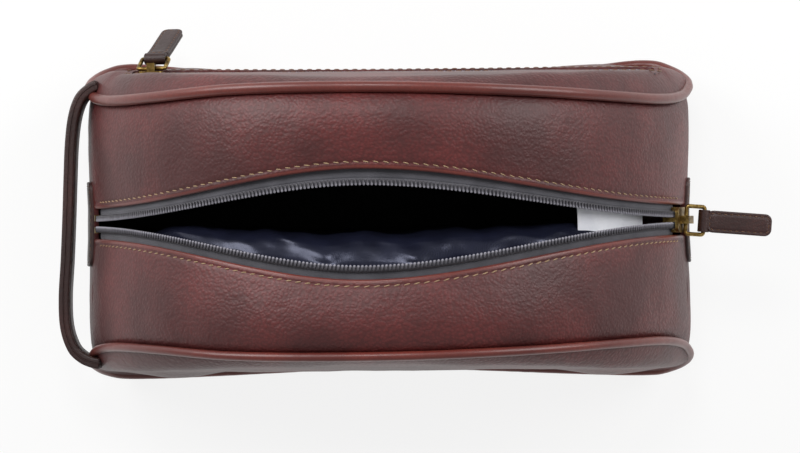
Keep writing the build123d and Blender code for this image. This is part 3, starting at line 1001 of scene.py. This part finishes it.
tab = {
    "pad": (13.3, 4.5, 2.8),  # half length, half width and corner
    "from": 0.95,  # its near end beyond the ring's bar
    "stitchIn": 1.25,
    "bar": 0.97,  # room for the ring's bar
    "wall": 1.45,
    "mainPivot": (127.763, -0.573, 46.308), "mainSkew": -4.5,
    "pocketPivot": (-94.788, 67.251, 42.368), "pocketLean": -12, "pocketDrop": 27,
    "upper": [(4.5, 1.52), (2.6, 1.54), (1.8, 1.5), (1.4, 1.3), (1.1, 1.3), (0.75, 1.44), (0.35, 1.4),
              (0.1, 1.2), (0, 0.9), (0.02, 0.35), (0.22, 0.12)],  # upper half of its profile
}


def makeTab(name, node, body, placed):
    centre = tab["from"] + tab["pad"][0]

    def place(co):
        x = co.x + centre
        thick = 1 + 0.42 * smooth((5.5 - x) / 4.5)
        droop = 0.5 * smooth((x - 6) / 22)
        return placed @ (Vector((x, co.y, co.z * thick - droop)) * mm)

    leaf = addPad(name, *tab["pad"], bothHalves(tab["upper"]), 26, 6)
    bend(leaf, place)
    outer = tab["bar"] + tab["wall"]
    ring = [(tab["bar"], -4.3), (tab["bar"], 4.3), (tab["bar"] + 0.3, 4.5), (outer - 0.3, 4.5), (outer, 4.2),
            (outer, -4.2), (outer - 0.3, -4.5), (tab["bar"] + 0.3, -4.5), (tab["bar"], -4.3)]
    loop = addGrid("loop", spread(0, 2 * pi, 28), ring,
                   lambda turn, p: Vector((p[0] * cos(turn), p[1], p[0] * sin(turn))))
    editAll(loop, weld(0.004), pointOut)
    bend(loop, lambda co: placed @ (co * mm))
    whole = joinPieces(name, [leaf, loop])
    finish(whole, trimLeather, body, [node])
    sewing = sewPad(f"{name}_stitches", tab["pad"], 1.36, tab["stitchIn"], 2.5, place)
    finish(sewing, trimThread, body, angle=180)


def turned(pivot, *turns):
    placed = Matrix.Translation(Vector(pivot) * mm)
    for turn in turns:
        placed = placed @ turn
    return placed


def hanging(drop):
    down = Vector((0, sin(radians(drop)), -cos(radians(drop))))
    across = Vector((1, 0, 0))
    up = down.cross(across)
    return Matrix((down, up.cross(down), up)).transposed().to_4x4()


makeTab("main_tab_leather", "main_pull_tab", "main_pull_tab",
        turned(tab["mainPivot"], Matrix.Rotation(radians(tab["mainSkew"]), 4, "Z")))
makeTab("pocket_tab_leather", "pocket_pull_tab", "pocket_pull_tab",
        turned(tab["pocketPivot"], Matrix.Rotation(radians(tab["pocketLean"]), 4, "Y"),
               hanging(tab["pocketDrop"])))
print("tabs made")


# Patches over the zip's ends

def makeTrim(stem, pad, profile, counts, sewing, place, stands):
    # A pad of trim leather on the bag, with the stitches round it
    leaf = addPad(f"{stem}_leather", *pad, profile, *counts)
    bend(leaf, place)
    editAll(leaf, pointOut)
    finish(leaf, trimLeather, "shell", stands)
    seam = sewPad(f"{stem}_stitches", pad, *sewing, place)
    finish(seam, trimThread, "shell", angle=180)


patch = {
    "pad": (17.5, 10.5, 4.0),
    "middle": 170.3,  # from the top of the arch
    "sink": 0.35,
    "sewing": (1.42, 1.8, 2.9),  # height, distance in from the edge and pitch of its stitches
}
patchProfile = [(10.5, 1.5), (6, 1.52), (2.4, 1.5), (2.0, 1.3), (1.6, 1.3), (1.1, 1.48), (0.4, 1.42),
                (0.1, 1.2), (0, 0.9), (0, 0.1), (0.5, 0.0), (4, 0.0), (10.5, 0.0)]
for side, name in ((-1, "left"), (1, "right")):
    def onEnd(co, side=side):
        s = side * (patch["middle"] + co.y)
        y = -co.x * side
        out = gussetOut(s, y, bag["mouthEnd"], 1 if y > 0 else -1)
        return onBag(s, y, out - patch["sink"] + co.z)

    makeTrim(f"{name}_patch", patch["pad"], patchProfile, (24, 14), patch["sewing"], onEnd,
             [f"{name}_zip_patch"])
print("patches made")


# Carrying strap across the left end

strap = {
    "height": 33.0, "halfWidth": 7.0, "layer": 2.2,
    "sewing": (2.02, 1.7, 3.0),
    "line": [  # seen from above, from the rear end to the front end
        (-119.2, 57.0), (-122.6, 55.4), (-126.6, 51.4), (-129.2, 44), (-130.6, 33), (-131.3, 18), (-131.9, 2),
        (-132.7, -15), (-133.6, -30), (-133.1, -42), (-130.4, -50.5), (-126.6, -54.6), (-122.4, -56.6),
        (-119.0, -57.2),
    ],
}
strapLength = sum((Vector(q) - Vector(p)).length for p, q in zip(strap["line"], strap["line"][1:]))
strapPad = (strapLength / 2, strap["halfWidth"], 2.0)
# Profile by how far each point lies below the strap's face
strapSunk = [(7, 0), (2.4, 0), (1.9, 0.2), (1.5, 0.2), (1.0, 0.05), (0.4, 0.1), (0.1, 0.4), (0, 0.8)]
strapUpper = [(inset, strap["layer"] - depth) for inset, depth in strapSunk] + [(0.02, 0.4), (0.3, 0.15)]


def onStrap(co):
    share = min(max(co.x / strapLength + 0.5, 0.0), 1.0)
    at = smoothPath(strap["line"], share)
    ahead = smoothPath(strap["line"], min(share + 0.002, 1))
    ahead -= smoothPath(strap["line"], max(share - 0.002, 0))
    out = Vector((ahead.y, -ahead.x)).normalized()
    squeeze = 1 - 0.12 * sin(pi * share)
    at = at + out * co.z
    return Vector((at.x, at.y, strap["height"] + co.y * squeeze)) * mm


makeTrim("strap", strapPad, bothHalves(strapUpper), (90, 8), strap["sewing"], onStrap,
         ["strap_outer", "strap_inner"])
print("strap made")


# Loose lining inside the mouth

drape = {
    # share of the way down, distance from the coil's inner edge, depth below the leather
    "front": [(0.0, 1.4, -3.0), (0.05, 0.3, -4.2), (0.16, -5.0, -6.4), (0.26, -9.5, -9.5), (0.34, -11.8, -17),
              (0.6, -12.5, -60), (1.0, -14.0, -112)],
    "rear": [(0.0, 1.2, -3.0), (0.06, 2.0, -6), (0.2, 5.0, -16), (0.5, 12.0, -45), (0.8, 8.0, -95),
             (1.0, 2.0, -112)],
    "shares": [0, 0.025, 0.05, 0.08, 0.11, 0.14, 0.165, 0.19, 0.215, 0.24, 0.27, 0.3, 0.34, 0.4, 0.5, 0.6,
               0.7, 0.85, 1.0],
    "wall": 0.4,
    "hung": 3.0,  # top edge below the leather
    "fullDepth": 115.0,  # height in which the listed depths fit
    "lowest": 4.6,  # above the floor
    "fold": 1.7,
    "besideSlider": 6.4,  # distance from the coil's inner edge at the mouth's ends
    "across": 0.0059,  # the ramp's slope per millimetre along the bag
    "down": 0.011,  # and per millimetre down
    "highest": 121.0,
}


def makeDrape(name, side, row, start, end):
    # Sewn along the tape, then hanging in loose folds down to the base
    line = drape[side]

    def place(s, share):
        x, top = onSide(s, -drape["hung"])
        for (a, inA, downA), (b, inB, downB) in zip(line, line[1:]):
            if share <= b:
                t = (share - a) / (b - a)
                inward, down = mix(inA, inB, t), mix(downA, downB, t)
                break
        gape = mix(0.25, 1.0, openShare(x))
        folds = roughly((x, 0, share * 12), 17) + 0.55 * roughly((x + 30 * share, 5, share * 40), 7)
        folds *= drape["fold"] * min(share * 8, 1)
        aside = 1 - smooth(openShare(x) / 0.25)  # room for the slider at both ends of the mouth
        inward = mix(inward * gape + 1.2 * (1 - gape), drape["besideSlider"], aside)
        y = max(coilInner(row, x) + inward + folds, 1.0)
        depth = (top - drape["lowest"]) / drape["fullDepth"]
        z = top - 0.4 + (down + drape["hung"]) * depth + 1.9 * folds * (1 - share) * (1 - aside)
        z = max(z, drape["lowest"]) + 0.5 * roughly((x, 9, share * 30), 9) * share
        pull = 1 - 0.14 * share * (abs(x) / 120) ** 2
        return Vector((x * pull, row["side"] * y, z)) * mm

    low, high = max(start, zipRow["ends"][0]), min(end, zipRow["ends"][1] + 6)
    return addSheet(name, spread(low, high, round((high - low) / 2.0)), drape["shares"], place,
                    lambda point: Vector((0, -row["side"], 0)), drape["wall"])


for side, row, part, start, end, hingeX in halves:
    cloth = makeDrape(f"{side}_lining_{part}", side, row, start, end)
    # The rear drape gets the darker lining, as painted shade
    material = coatedNylon if side == "front" else shadedLiningNylon
    finish(cloth, material, stands=[f"{side}_lining", "gusset_lining"], angle=60)
    slope = Vector((drape["across"] * (1 if part == "west" else -1), 0, drape["down"]))
    highest = Vector((bag["widest"], 0, drape["highest"]))
    slantedBlend(cloth, row, highest - slope / slope.length_squared, slope)


def makeInnerBase():
    # Lining over the base board and up both ends
    reach = halfRound - mouthLength - 3

    def place(at, share):
        s = wrapBase(mouthLength + 3 + at)
        half = seamHalf(s, 1) - 4
        y = half * (2 * share - 1)
        level = mix(-2.6, -3.2, min((abs(s) - mouthLength) / (baseStart - mouthLength), 1))
        return onBag(s, y, level - 0.4 * abs(roughly((s, y, 0), 14)))

    return addSheet("base_lining", spread(0, 2 * reach, 150), spread(0, 1, 40), place,
                    lambda point: Vector((0, 0, 1)), 0.3)


# The base lining gets the darker lining too, as painted shade
finish(makeInnerBase(), shadedLiningNylon, "shell", ["gusset_lining"])
print("lining made")


# Care label, left bare

label = {"near": 73.0, "far": 101.0, "halfWidth": 14.0, "below": 5.8, "wall": 0.3}


def makeLabel():
    def place(x, y):
        s = archRadius * asin(x / (archRadius - label["below"]))
        share = (x - label["near"]) / (label["far"] - label["near"])
        across = y / label["halfWidth"]
        curl = 1.2 * sin(pi * share) - 1.4 * smooth((across - 0.4) / 0.6) + 0.4 * roughly((x, y, 0), 12)
        skew = 1.2 * (1 - share) * across
        return onBag(s - skew, y, -label["below"] + curl)

    return addSheet("care_label_ribbon", spread(label["near"], label["far"], 28),
                    spread(-label["halfWidth"], label["halfWidth"], 28), place, fromAxis, label["wall"])


finish(makeLabel(), satinRibbon, "shell", ["care_label"])
print("label made")


# Metal parts and the hidden board keep their CAD shapes

def dress(material, *nodes):
    for name in nodes:
        part = bpy.data.objects[name]
        part.data.materials.clear()
        part.data.materials.append(material)


dress(antiqueBrass, "main_slider", "main_pull_ring", "pocket_slider", "pocket_pull_ring", "zip_bottom_stop",
      "zip_top_stops", "pocket_zip_stops")
dress(fibreBoard, "base_board")
print("metal parts dressed")


# Studio: a pale floor, soft lamps and the camera above the bag

studio = {
    "cameraAt": (4.3, -1.9, 977.0),
    "cameraRoll": -0.43,
    "lens": 103.1,
    "floor": "#f4f4f3",
    "lamps": [
        {"at": (-860, 560, 640), "size": 700, "power": 8.0},
        {"at": (860, 480, 640), "size": 700, "power": 6.0},
        {"at": (-120, 640, 1000), "size": 380, "power": 3.6},
    ],
    "ambient": 0.4,
    "white": 0.84,  # share of the floor and the air that the camera sees as plain white
}


def seenDirectly(tree):
    # 1 for what the camera sees, whether plainly, in a gloss or through something clear
    path = addNode(tree, "LightPath").outputs
    seen = addMath(tree, "MAXIMUM", path["Is Camera Ray"], path["Is Glossy Ray"])
    return addMath(tree, "MAXIMUM", seen, path["Is Transmission Ray"])


def makeStudio():
    deselect()
    bpy.ops.mesh.primitive_plane_add(size=40)
    floor = bpy.context.object
    floor.name = "studio_floor"
    material, tree, shader = newMaterial("mattCardStock", Roughness=0.9, Base_Color=toLinear(studio["floor"]))
    share = addMath(tree, "MULTIPLY", seenDirectly(tree), studio["white"])
    glow = addNode(tree, "Emission", {"Color": (1, 1, 1, 1), "Strength": 1.0}).outputs[0]
    both = addNode(tree, "MixShader", links={0: share, 1: shader.outputs[0], 2: glow}).outputs[0]
    tree.links.new(both, tree.nodes["Material Output"].inputs["Surface"])
    floor.data.materials.append(material)
    for lamp in studio["lamps"]:
        spot = Vector(lamp["at"]) * mm
        bpy.ops.object.light_add(type="AREA", location=spot)
        light = bpy.context.object
        light.data.shape = "DISK"
        light.data.size = lamp["size"] * mm
        light.data.energy = lamp["power"]
        light.rotation_euler = (Vector((0, 0, 0.05)) - spot).to_track_quat("-Z", "Y").to_euler()
    world = bpy.data.worlds.new("studioAir")
    world.use_nodes = True
    bpy.context.scene.world = world
    air = world.node_tree
    path = addNode(air, "LightPath").outputs["Is Camera Ray"]
    strength = addRange(air, path, {3: studio["ambient"], 4: 1.0})
    air.nodes["Background"].inputs["Color"].default_value = (1, 1, 1, 1)
    air.links.new(strength, air.nodes["Background"].inputs["Strength"])
    bpy.ops.object.camera_add(location=Vector(studio["cameraAt"]) * mm,
                              rotation=(0, 0, radians(studio["cameraRoll"])))
    camera = bpy.context.object
    camera.data.lens = studio["lens"]
    camera.data.sensor_width = 36
    bpy.context.scene.camera = camera
    bpy.context.scene.view_settings.view_transform = "Standard"


makeStudio()
print("studio set")
